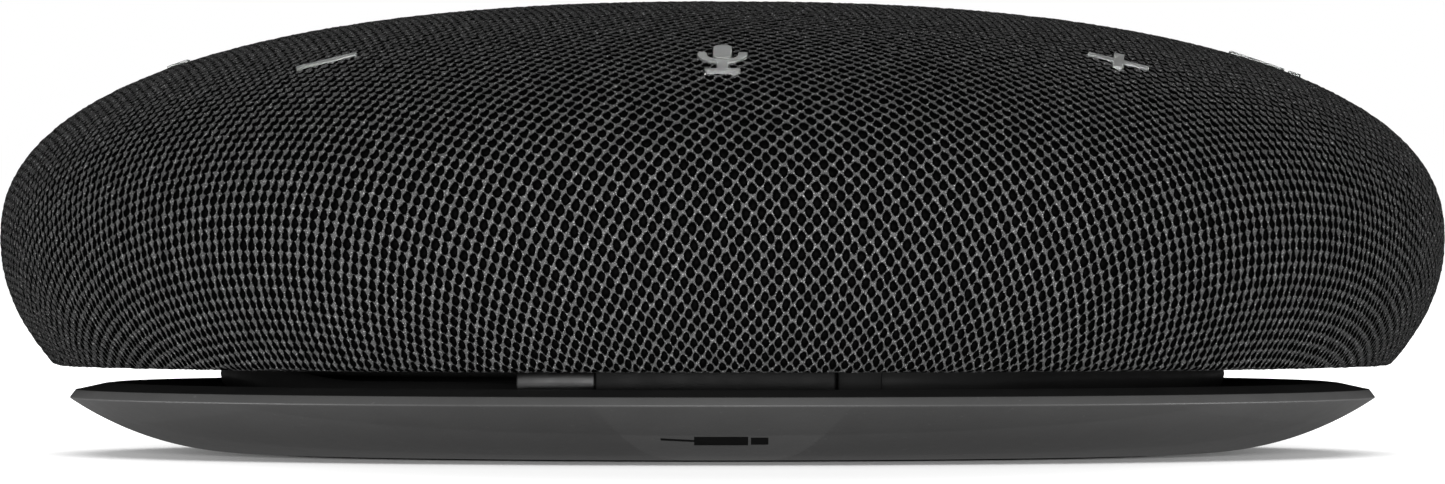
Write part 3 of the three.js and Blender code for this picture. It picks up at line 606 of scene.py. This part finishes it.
lead, route, lead_length = make_lead()
make_grip()
make_shell()
make_strain_relief()


# ---------------------------------------------------------------- key icons
STROKE = 0.45  # half the width of a bar of the minus, the plus and the microphone's stem


def dome_z(radius):
    return EQUATOR_Z + DOME_RISE * (1 - (radius / BODY_RADIUS) ** DOME_POWER) ** (1 / DOME_POWER)


def dome_radius(z):
    return BODY_RADIUS * (1 - ((z - EQUATOR_Z) / DOME_RISE) ** DOME_POWER) ** (1 / DOME_POWER)


def flank_radius(z):
    return BODY_RADIUS * math.sqrt(1 - ((EQUATOR_Z - z) / FLANK_DROP) ** 2)


def key_frame(azimuth):
    """Origin, right, up and outward normal of a key, in millimetres."""
    height = dome_z(KEY_RADIUS) - EQUATOR_Z
    along_r = (KEY_RADIUS / BODY_RADIUS) ** (DOME_POWER - 1) / BODY_RADIUS
    along_z = (height / DOME_RISE) ** (DOME_POWER - 1) / DOME_RISE
    size = math.hypot(along_r, along_z)
    normal = on_circle(along_r / size, azimuth, along_z / size)
    up = Vector((0, 1, 0)) - normal * normal.y
    up.normalize()
    return on_circle(KEY_RADIUS, azimuth, EQUATOR_Z + height), up.cross(normal), up, normal


def arc(x, y, radius, start, end, steps=14):
    turn = [math.radians(start + (end - start) * i / steps) for i in range(steps + 1)]
    return [(x + radius * math.cos(a), y + radius * math.sin(a)) for a in turn]


def box_outline(width, height, x, y, corner):
    w, h = width / 2, height / 2
    corners = [(x + w, y - h, corner), (x + w, y + h, corner), (x - w, y + h, corner), (x - w, y - h, corner)]
    return fillet(corners)


def microphone_stand():
    """Base bar, stem and cradle as one outline."""
    middle, outer, inner, top = 1.1, 2.08, 1.28, 1.66
    foot = [(0, -3.3, 0), (1.47, -3.3, 0.15), (1.47, -2.57, 0.15), (STROKE, -2.57, 0.1), (STROKE, -1.2, 0)]
    right = fillet(foot)[1:-1]
    right += arc(0, middle, outer, -math.degrees(math.acos(STROKE / outer)), 0)
    right += [(outer, top - 0.22), (outer - 0.08, top - 0.06), (outer - 0.24, top)]
    right += [(inner + 0.24, top), (inner + 0.08, top - 0.06), (inner, top - 0.22)]
    right += arc(0, middle, inner, 0, -88)
    return right + [(-x, y) for x, y in reversed(right)]


def glyph(name):
    """Outlines of a key's icon in its key frame, in millimetres, each anticlockwise."""
    if name == "minus":
        return [box_outline(5.2, 2 * STROKE, -0.2, 0, 0.18)]
    if name == "plus":
        bar, reach = STROKE, 2.6
        arms = [
            (reach, -bar), (reach, bar), (bar, bar), (bar, reach), (-bar, reach), (-bar, bar),
            (-reach, bar), (-reach, -bar), (-bar, -bar), (-bar, -reach), (bar, -reach), (bar, -bar),
        ]
        return [fillet([(x + 0.2, y, 0.14) for x, y in arms])]
    if name == "microphone":
        return [box_outline(1.56, 3.36, 0, 1.86, 0.72), microphone_stand()]
    if name == "call":
        back, notch, front, end, step = -1.05, -0.15, 0.85, 2.7, 1.2
        corners = [
            (back, -end), (front, -end), (front, -step), (notch, -step),
            (notch, step), (front, step), (front, end), (back, end),
        ]
        return [fillet([(x, y, 0.35) for x, y in corners])]
    lens = [(2.1, -0.7, 0.12), (3.2, -1.3, 0.2), (3.2, 1.3, 0.2), (2.1, 0.7, 0.12)]
    return [box_outline(4.9, 3.6, -0.75, 0, 0.5), fillet(lens)]


def make_icons():
    """Each icon with the round plate that its strokes stand on."""
    top = ICON_PROUD
    stroke_levels = [(-1.5, 0.0), (top - 0.09, 0.0), (top - 0.03, 0.025), (top, 0.09), (top, 0.11)]
    plate_levels = [(-1.9, 0.1), (-1.8, 0.0), (-1.4, 0.0), (-1.3, 0.1)]
    plate = prism(arc(0, 0, 3.9, 0, 348.75, 31), plate_levels)
    for name, azimuth in KEYS.items():
        origin, right, up, normal = key_frame(azimuth)
        vertices, faces = gathered([plate, *(prism(outline, stroke_levels) for outline in glyph(name))])
        placed = [origin + right * x + up * y + normal * z for x, y, z in vertices]
        add_mesh(
            f"{name}_icon", placed, faces, ICON, f"{name}_key", f"key_{name}_icon", smooth_angle=40
        )


make_icons()


# ---------------------------------------------------------------- knitted cover
PITCH = 1.0  # from hole to hole, in millimetres of cloth
LATTICE_TURN = 6  # degrees, as the cloth was laid on

# Depths under the cloth's outer surface, and the spread of each point's place and depth.
HOLE_DEPTH = 0.42
CROSSING_DEPTH = 0.03
STRAND_DEPTH = 0.07
JITTER = 0.035
SWELL = 0.03
MOST_SWELL = 0.06

# The lower edge: its rounded corner, and the radius where the cloth ends under the body.
CORNER_TOP_Z = 7.81
CORNER_RADIUS = 0.9
HEM_INNER_RADIUS = 53.8

# Opening round an icon: the gap to the icon, how near to that edge a point is to be moved onto it, and
# how far from the key's origin points are looked at.
ICON_MARGIN = 0.07
EDGE_BAND = 0.26
ICON_REACH = 5.5


def skin_profile():
    """Arc length, radius, z and outward normal (r, z), from the crown to the hem's inner edge."""
    dome_turns_steep = 52.0
    line = [(r, dome_z(r)) for r in np.linspace(0, dome_turns_steep, 130)]
    line += [(dome_radius(z), z) for z in np.linspace(dome_z(dome_turns_steep), EQUATOR_Z, 70)[1:]]
    line += [(flank_radius(z), z) for z in np.linspace(EQUATOR_Z, CORNER_TOP_Z, 50)[1:]]
    slope = flank_radius(CORNER_TOP_Z) - flank_radius(CORNER_TOP_Z - 0.01)
    tilt = -math.atan2(slope, 0.01)
    centre_r = line[-1][0] - CORNER_RADIUS * math.cos(tilt)
    centre_z = line[-1][1] - CORNER_RADIUS * math.sin(tilt)
    for angle in np.linspace(tilt, -math.pi / 2, 8)[1:]:
        line.append((centre_r + CORNER_RADIUS * math.cos(angle), centre_z + CORNER_RADIUS * math.sin(angle)))
    line += [(r, line[-1][1]) for r in np.linspace(line[-1][0], HEM_INNER_RADIUS, 6)[1:]]
    line = np.array(line)
    step = np.diff(line, axis=0)
    length = np.concatenate([[0], np.cumsum(np.hypot(step[:, 0], step[:, 1]))])
    tangent = np.gradient(line, length, axis=0)
    tangent /= np.linalg.norm(tangent, axis=1)[:, None]
    return length, line[:, 0], line[:, 1], -tangent[:, 1], tangent[:, 0]


def outline_distance(points, outlines):
    """Signed distance to the nearest outline, negative inside, and the direction that leads outwards."""
    best = np.full(len(points), 1e9)
    away = np.zeros_like(points)
    for outline in outlines:
        a = np.array(outline)
        b = np.roll(a, -1, axis=0)
        along = b - a
        t = np.clip(((points[:, None] - a) * along).sum(2) / np.maximum((along**2).sum(1), 1e-12), 0, 1)
        gap = points[:, None] - (a + t[..., None] * along)
        distance = np.linalg.norm(gap, axis=2)
        nearest = distance.argmin(1)
        rows = np.arange(len(points))
        found, direction = distance[rows, nearest], gap[rows, nearest]
        crosses = (a[:, 1] > points[:, 1:]) != (b[:, 1] > points[:, 1:])
        rise = np.where(np.abs(along[:, 1]) < 1e-12, 1e-12, along[:, 1])
        edge_x = a[:, 0] + (points[:, 1:] - a[:, 1]) / rise * along[:, 0]
        inside = (crosses & (points[:, :1] < edge_x)).sum(1) % 2 == 1
        signed = np.where(inside, -found, found)
        direction = direction / np.maximum(found, 1e-9)[:, None] * np.where(inside, -1, 1)[:, None]
        closer = signed < best
        best[closer], away[closer] = signed[closer], direction[closer]
    return best, away


def lattice_points(profile):
    """Rows and columns of the cloth's points, the points on its outer surface, and the points themselves."""
    length, radius, height, normal_r, normal_z = profile
    whole = length[-1]
    half = PITCH / 2
    reach = int(whole / half) + 2
    numbers = np.arange(-reach, reach + 1)
    i, j = (grid.ravel() for grid in np.meshgrid(numbers, numbers, indexing="ij"))
    turn = math.radians(45 + LATTICE_TURN)
    u = (i * math.cos(turn) - j * math.sin(turn)) * half
    v = (i * math.sin(turn) + j * math.cos(turn)) * half
    used = np.hypot(u, v) < whole + 0.45
    rng = np.random.default_rng(7)
    jitter = rng.normal(0, JITTER, (len(i), 2))[used]
    swell = rng.normal(0, SWELL, len(i))[used]
    i, j = i[used], j[used]
    flat = np.stack([u[used], v[used]], 1)
    off_crown = np.hypot(flat[:, 0], flat[:, 1]) > 1e-6
    flat = flat + jitter
    distance = np.hypot(flat[:, 0], flat[:, 1])
    direction = np.where(off_crown[:, None], flat / np.maximum(distance, 1e-6)[:, None], (0.0, -1.0))
    arc_length = np.clip(distance, 0, whole)
    at = [np.interp(arc_length, length, row) for row in (radius, height, normal_r, normal_z)]
    hole = (i % 2 == 0) & (j % 2 == 0)
    crossing = (i % 2 == 1) & (j % 2 == 1)
    depth = np.where(hole, HOLE_DEPTH, np.where(crossing, CROSSING_DEPTH, STRAND_DEPTH))
    depth = np.maximum(depth + np.clip(swell, -MOST_SWELL, MOST_SWELL) * ~hole, 0.0)
    crests = np.stack([direction[:, 0] * at[0], direction[:, 1] * at[0], at[1]], 1)
    outward = np.stack([direction[:, 0] * at[2], direction[:, 1] * at[2], at[3]], 1)
    return i, j, crests, crests - depth[:, None] * outward


def lattice_quads(i, j):
    """Four point numbers for each cell of the lattice that has all its corners."""
    reach = max(np.abs(i).max(), np.abs(j).max())
    number = -np.ones((2 * reach + 2, 2 * reach + 2), int)
    number[i + reach, j + reach] = np.arange(len(i))
    corners = [number[i + di + reach, j + dj + reach] for di, dj in ((0, 0), (1, 0), (1, 1), (0, 1))]
    quads = np.stack(corners, 1)
    return quads[(quads >= 0).all(1)]


def open_round_icons(points, crests, quads):
    """Takes the faces inside the icons' outlines out of quads, and moves the points at the edge onto it."""
    for name, azimuth in KEYS.items():
        origin, right, up, _ = (np.array(x) for x in key_frame(azimuth))
        near = np.flatnonzero(np.linalg.norm(points - origin, axis=1) < ICON_REACH)
        local = np.stack([(points[near] - origin) @ right, (points[near] - origin) @ up], 1)
        outlines = glyph(name)
        distance, away = outline_distance(local, outlines)

        def draw_to_outline(moving):
            shift = (ICON_MARGIN - distance[moving])[:, None] * away[moving]
            points[near[moving]] = crests[near[moving]] + shift[:, :1] * right + shift[:, 1:] * up

        def without_faces_inside():
            touched = np.flatnonzero(np.isin(quads, near).all(1))
            centre = points[quads[touched]].mean(1)
            middle = np.stack([(centre - origin) @ right, (centre - origin) @ up], 1)
            inside = outline_distance(middle, outlines)[0] < ICON_MARGIN * 0.6
            return np.delete(quads, touched[inside], axis=0)

        beside = np.abs(distance - ICON_MARGIN) < EDGE_BAND
        draw_to_outline(beside)
        quads = without_faces_inside()
        # Points further inside that faces still use are moved out to the edge as well.
        draw_to_outline(np.isin(near, quads) & ~beside & (distance < ICON_MARGIN))
        quads = without_faces_inside()
    return quads


def cloth_mesh(points, quads, holes):
    """Mesh of the quads, its UV map giving each point's place as a count of holes."""
    kept = np.unique(quads)
    renumber = -np.ones(len(points), int)
    renumber[kept] = np.arange(len(kept))
    mesh = bpy.data.meshes.new("knit_cover")
    mesh.vertices.add(len(kept))
    mesh.vertices.foreach_set("co", (points[kept] * MM).astype(np.float32).ravel())
    mesh.loops.add(4 * len(quads))
    mesh.loops.foreach_set("vertex_index", renumber[quads].ravel())
    mesh.polygons.add(len(quads))
    mesh.polygons.foreach_set("loop_start", np.arange(0, 4 * len(quads), 4))
    mesh.polygons.foreach_set("loop_total", np.full(len(quads), 4))
    mesh.update(calc_edges=True)
    lattice = mesh.uv_layers.new(name="holes")
    lattice.data.foreach_set("uv", holes[quads.ravel()].astype(np.float32).ravel())
    mesh.validate()
    mesh.materials.append(KNIT)
    mesh.shade_smooth()
    return mesh


def make_cover():
    profile = skin_profile()
    i, j, crests, points = lattice_points(profile)
    quads = open_round_icons(points, crests, lattice_quads(i, j))
    mesh = cloth_mesh(points, quads, np.stack([i, j], 1) / 2)
    cover = bpy.data.objects.new("knit_cover", mesh)
    bpy.context.scene.collection.objects.link(cover)
    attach(cover, HOUSING)
    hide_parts("fabric_cover")


make_cover()


# ---------------------------------------------------------------- dish, rings and plates
def dish_bend():
    """Radius of the bowl's curve, seen from the side."""
    across, rise = DISH_TIP_RADIUS - DISH_FLAT_RADIUS, DISH_TIP_Z - DISH_BOTTOM_Z
    return (across**2 + rise**2) / (2 * rise)


def dish_z(radius):
    bend = dish_bend()
    return DISH_BOTTOM_Z + bend - math.sqrt(bend**2 - max(radius - DISH_FLAT_RADIUS, 0) ** 2)


def make_base():
    """Profiles are rows of (radius, z, corner radius)."""
    bowl = [(r, dish_z(r), 0) for r in np.linspace(DISH_FLAT_RADIUS, DISH_TIP_RADIUS - 0.25, 40)]
    inside = [
        (55.06, 5.5, 0.06), (54.9, 5.52, 0.02), (54.86, 5.25, 0), (52.6, 5.8, 0.3), (51.95, 5.84, 0.1),
        (51.7, 4.2, 0.6), (50.2, 2.9, 0.6), (33.9, 2.9, 0.1), (33.9, 2.2, 0.1), (29.5, 2.2, 0.1),
        (29.5, DISH_BOTTOM_Z, 0.15), (30.7, DISH_BOTTOM_Z, 0.12), (30.7, 1.5, 0.1), (38.8, 1.5, 0.1),
        (38.8, DISH_BOTTOM_Z, 0.12),
    ]
    tip = [(DISH_TIP_RADIUS, DISH_TIP_Z, 0.15)]
    lathe("dish", bowl + tip + inside, DISH, "base_dish", sides=288)
    # Painted shade: a thin black sheet laid over the dish's deck and chamfer, darkening them as the body's
    # overhang shades them.
    shade_sheet = lathe("groove_liner", [
        (54.83, 5.28, 0.02), (54.8, 5.54, 0.04), (52.6, 6.02, 0.3), (51.6, 6.12, 0.15), (51.4, 4.3, 0.6),
        (50.3, 3.2, 0.6), (33.9, 3.2, 0.05), (33.9, 2.93, 0.05), (50.2, 2.93, 0.6), (51.67, 4.2, 0.6),
        (51.92, 5.87, 0.1), (52.6, 5.83, 0.3),
    ], GROOVE_SHADE, sides=288)
    lathe("clamping_hem", [
        (51.7, 7.5, 0.25), (53.3, 7.5, 0.2), (53.3, 8.75, 0.1), (55.9, 8.75, 0.1), (56.4, 9.0, 0.1),
        (57.3, 10.3, 0.1), (51.7, 10.3, 0.2),
    ], DRUM_BLACK, "hem_ring")
    lathe("foot_pad", [
        (31, 1.2, 0.1), (31, 0.0, 0.25), (34.2, 0.0, 0.08), (34.4, 0.12, 0.05), (34.9, 0.12, 0.05),
        (35.1, 0.0, 0.08), (38.5, 0.0, 0.25), (38.5, 1.2, 0.1),
    ], RUBBER, "foot_ring")
    lathe("winding_drum", [
        (0, 3.5, 0), (35.8, 3.5, 0.3), (35.8, 10.3, 0.3), (34, 10.3, 0.2), (34, 4.9, 0.2), (0, 4.9, 0),
    ], DRUM_BLACK, "cable_drum")
    lathe("rating_label", [
        (0, 0.45, 0), (18, 0.45, 0.08), (18, 0.85, 0.08), (0, 0.85, 0),
    ], FOIL, "rating_plate")


MARK_RADIUS = 49.95  # middle of the mark, measured along the bowl's plan
INK = 0.02  # how proud the print stands


def make_printed_mark():
    """Generic lead-and-plug pictogram printed on the front of the bowl."""

    def patch(x_low, x_high, rise_low, rise_high, low_shift=0.0):
        """A patch of the bowl; low_shift moves its x_low end outwards."""
        columns, rows = 12, 4
        vertices = []
        for a in range(columns + 1):
            x = between(x_low, x_high, a / columns)
            for b in range(rows + 1):
                radius = MARK_RADIUS + between(rise_low, rise_high, b / rows) + low_shift * (1 - a / columns)
                lean = math.asin((radius - DISH_FLAT_RADIUS) / dish_bend())
                ring = radius + INK * math.sin(lean)
                z = dish_z(radius) - INK * math.cos(lean)
                azimuth = x / radius
                vertices.append((ring * math.sin(azimuth), -ring * math.cos(azimuth), z))
        corners = [a * (rows + 1) + b for a in range(columns) for b in range(rows)]
        faces = [[c, c + rows + 1, c + rows + 2, c + 1] for c in corners]
        return vertices, faces

    cord = patch(-5.08, -2.32, -0.15, 0.3, 0.35)
    plug = patch(-2.32, 2.1, -0.96, 0.97)
    tongue = patch(2.33, 3.76, -0.8, 0.8)
    vertices, faces = gathered([cord, plug, tongue])
    mark = add_mesh("printed_plug_mark", vertices, faces, PRINT, HOUSING)


def make_plate_screws():
    """Base screws, each with a round head that has a hexagon socket in its lower face."""
    # Radius of the circle, or from the middle to a flat of the hexagon; z; whether it is a hexagon.
    rings = [
        (1.2, 1.95, True), (1.25, 1.27, True), (1.33, 1.2, True), (2.45, 1.2, False), (2.62, 1.27, False),
        (2.7, 1.45, False), (2.7, 2.3, False), (1.15, 2.3, False), (1.15, 9.0, False), (0.5, 9.3, False),
    ]
    turns = np.radians(np.arange(0, 360, 7.5))
    to_flat = np.cos((turns % (math.pi / 3)) - math.pi / 6)
    for number, azimuth in enumerate(PLATE_SCREW_AZIMUTHS, 1):
        spot = on_circle(PLATE_SCREW_CIRCLE, azimuth)
        vertices, faces, count = [], [], len(turns)
        for radius, z, hexagon in rings:
            reach = radius / to_flat if hexagon else np.full(count, radius)
            vertices += [
                (spot.x + r * math.cos(t), spot.y + r * math.sin(t), z) for r, t in zip(reach, turns)
            ]
        for ring in range(len(rings) - 1):
            low, high = ring * count, (ring + 1) * count
            for i in range(count):
                j = (i + 1) % count
                faces.append([low + i, low + j, high + j, high + i])
        faces.append(list(range(count))[::-1])
        faces.append([(len(rings) - 1) * count + i for i in range(count)])
        node = f"base_screw_{number}"
        add_mesh(f"plate_screw_{number}", vertices, faces, ZINC, HOUSING, node, smooth_angle=35)


make_base()
make_printed_mark()
make_plate_screws()


# ---------------------------------------------------------------- materials of the pieces kept from the CAD
KEPT = {
    "black_plastic": DRUM_BLACK, "black_rubber": RUBBER, "zinc_steel": ZINC, "nickel_steel": NICKEL,
    "copper_wire": COPPER, "pressed_paper": PAPER, "treated_cloth": WEAVE, "circuit_board": BOARD,
    "chip_plastic": CHIP, "white_plastic": WHITE, "plate_foil": FOIL, "grey_elastomer": DISH,
    "lead_jacket": JACKET, "icon_silicone": ICON,
}
for node, piece in frame["nodes"].items():
    if not piece.hide_render:
        for material_slot in piece.material_slots:
            material_slot.material = KEPT[slots[node]]


# ---------------------------------------------------------------- studio
AMBIENT = 0.06  # strength of the white surround, as the object receives it


def seen_by_camera(tree, to_others, to_camera):
    """A strength that differs between what the camera sees directly and what lights the object."""
    seen = tree.nodes.new("ShaderNodeLightPath").outputs["Is Camera Ray"]
    strength = tree.nodes.new("ShaderNodeMapRange")
    strength.inputs["To Min"].default_value = to_others
    strength.inputs["To Max"].default_value = to_camera
    tree.links.new(seen, strength.inputs["Value"])
    return strength.outputs["Result"]


def make_floor():
    """White table that fades into the white surround away from the object."""
    s = Surface("studio_white", 0.9, Emission_Color=(1, 1, 1, 1))
    paint = s.mix(s.noise(3.0), grey(240), grey(242))
    s.link(s.mix(seen_by_camera(s.tree, 0.0, 1.0), grey(150), paint), "Base Color")
    squashed = s.add("ShaderNodeVectorMath", {"operation": "MULTIPLY"}, _0=s.place, _1=(1, 0.35, 1))
    distance = s.add("ShaderNodeVectorMath", {"operation": "LENGTH"}, _0=squashed.outputs[0])
    fade = s.span(distance.outputs["Value"], 0.03, 0.1, 0.0, 1.0, smooth=True)
    s.link(s.math("MULTIPLY", fade, seen_by_camera(s.tree, 0.0, 1.0)), "Emission Strength")
    half, level = 12.0, -2e-5  # just under the foot, so that the two faces don't share a plane
    corners = [(-half, -half, level), (half, -half, level), (half, half, level), (-half, half, level)]
    mesh = bpy.data.meshes.new("floor")
    mesh.from_pydata(corners, [], [[0, 1, 2, 3]])
    mesh.materials.append(s.material)
    floor = bpy.data.objects.new("floor", mesh)
    bpy.context.scene.collection.objects.link(floor)
    return floor


def linked(name, pieces, state="INCLUDE"):
    """Collection of the pieces that a light is kept to, or with EXCLUDE the ones that it leaves out."""
    collection = bpy.data.collections.new(name)
    for piece in pieces:
        collection.objects.link(piece)
    for entry in collection.collection_objects:
        entry.light_linking.link_state = state
    return collection


def softbox(name, place, size, power, aim=(0, 0, 0.02), lights=None, shaded_by=None):
    """Area light. With lights or shaded_by given, it lights, or is shaded by, that collection alone."""
    light = bpy.data.lights.new(name, "AREA")
    light.shape = "RECTANGLE"
    light.size, light.size_y = size
    light.energy = power
    lamp = bpy.data.objects.new(name, light)
    lamp.location = place
    lamp.rotation_euler = (Vector(aim) - lamp.location).to_track_quat("-Z", "Y").to_euler()
    lamp.light_linking.receiver_collection = lights
    lamp.light_linking.blocker_collection = shaded_by
    bpy.context.scene.collection.objects.link(lamp)


def make_light(floor):
    """White to the camera and dim to all else, with softboxes that each light only the pieces named."""
    world = bpy.data.worlds.new("studio")
    world.use_nodes = True
    background = world.node_tree.nodes["Background"]
    background.inputs["Color"].default_value = (1, 1, 1, 1)
    world.node_tree.links.new(seen_by_camera(world.node_tree, AMBIENT, 1.0), background.inputs["Strength"])
    bpy.context.scene.world = world
    pieces = bpy.data.objects
    names = ("plug_grip", "plug_metal_shell", "plug_strain_relief", "lead", "winding_drum")
    deep = [pieces[name] for name in names]
    icons = [pieces[f"{name}_icon"] for name in KEYS]
    centre = (0, 0, 0)

    # The dish has its own lights: one from above in front, and low ones that only it can shade.
    dish = linked("dish_only", [pieces["dish"]])
    base = linked("base_only", [pieces["dish"], pieces["foot_pad"]])
    apart = linked("lit_apart", [*deep, pieces["dish"]], "EXCLUDE")
    softbox("front", (0, -1.7, 0.15), (0.6, 0.2), 43.0, lights=apart)
    softbox("edge", (0, -1.55, 0.45), (0.3, 0.2), 35.0, lights=dish)
    softbox("below", (0, 0.1, -0.9), (0.8, 0.8), 4.4, aim=centre, lights=dish, shaded_by=dish)
    for side in (-1, 1):
        softbox("side", (side * 1.2, 0.1, -0.28), (0.4, 0.4), 14.0, aim=centre, lights=dish, shaded_by=dish)

    inside = linked("inside_groove", deep)
    softbox("groove", (0, -1.7, 0.2), (1.6, 0.06), 3.2, lights=inside, shaded_by=inside)
    icons_only = linked("icons_only", icons)
    softbox("icons", (0, -0.5, 0.9), (0.8, 0.8), 10.5, aim=(0, 0, 0.03), lights=icons_only)
    cover = linked("cover_only", [pieces["knit_cover"]])
    softbox("back", (0, 1.7, 0.1), (0.6, 0.2), 13.0, lights=cover)
    table = linked("floor_only", [floor])
    softbox("floor", (0, 0.0, 1.0), (1.4, 1.4), 14.2, aim=centre, lights=table, shaded_by=base)


make_light(make_floor())
bpy.context.scene.view_settings.view_transform = "Standard"
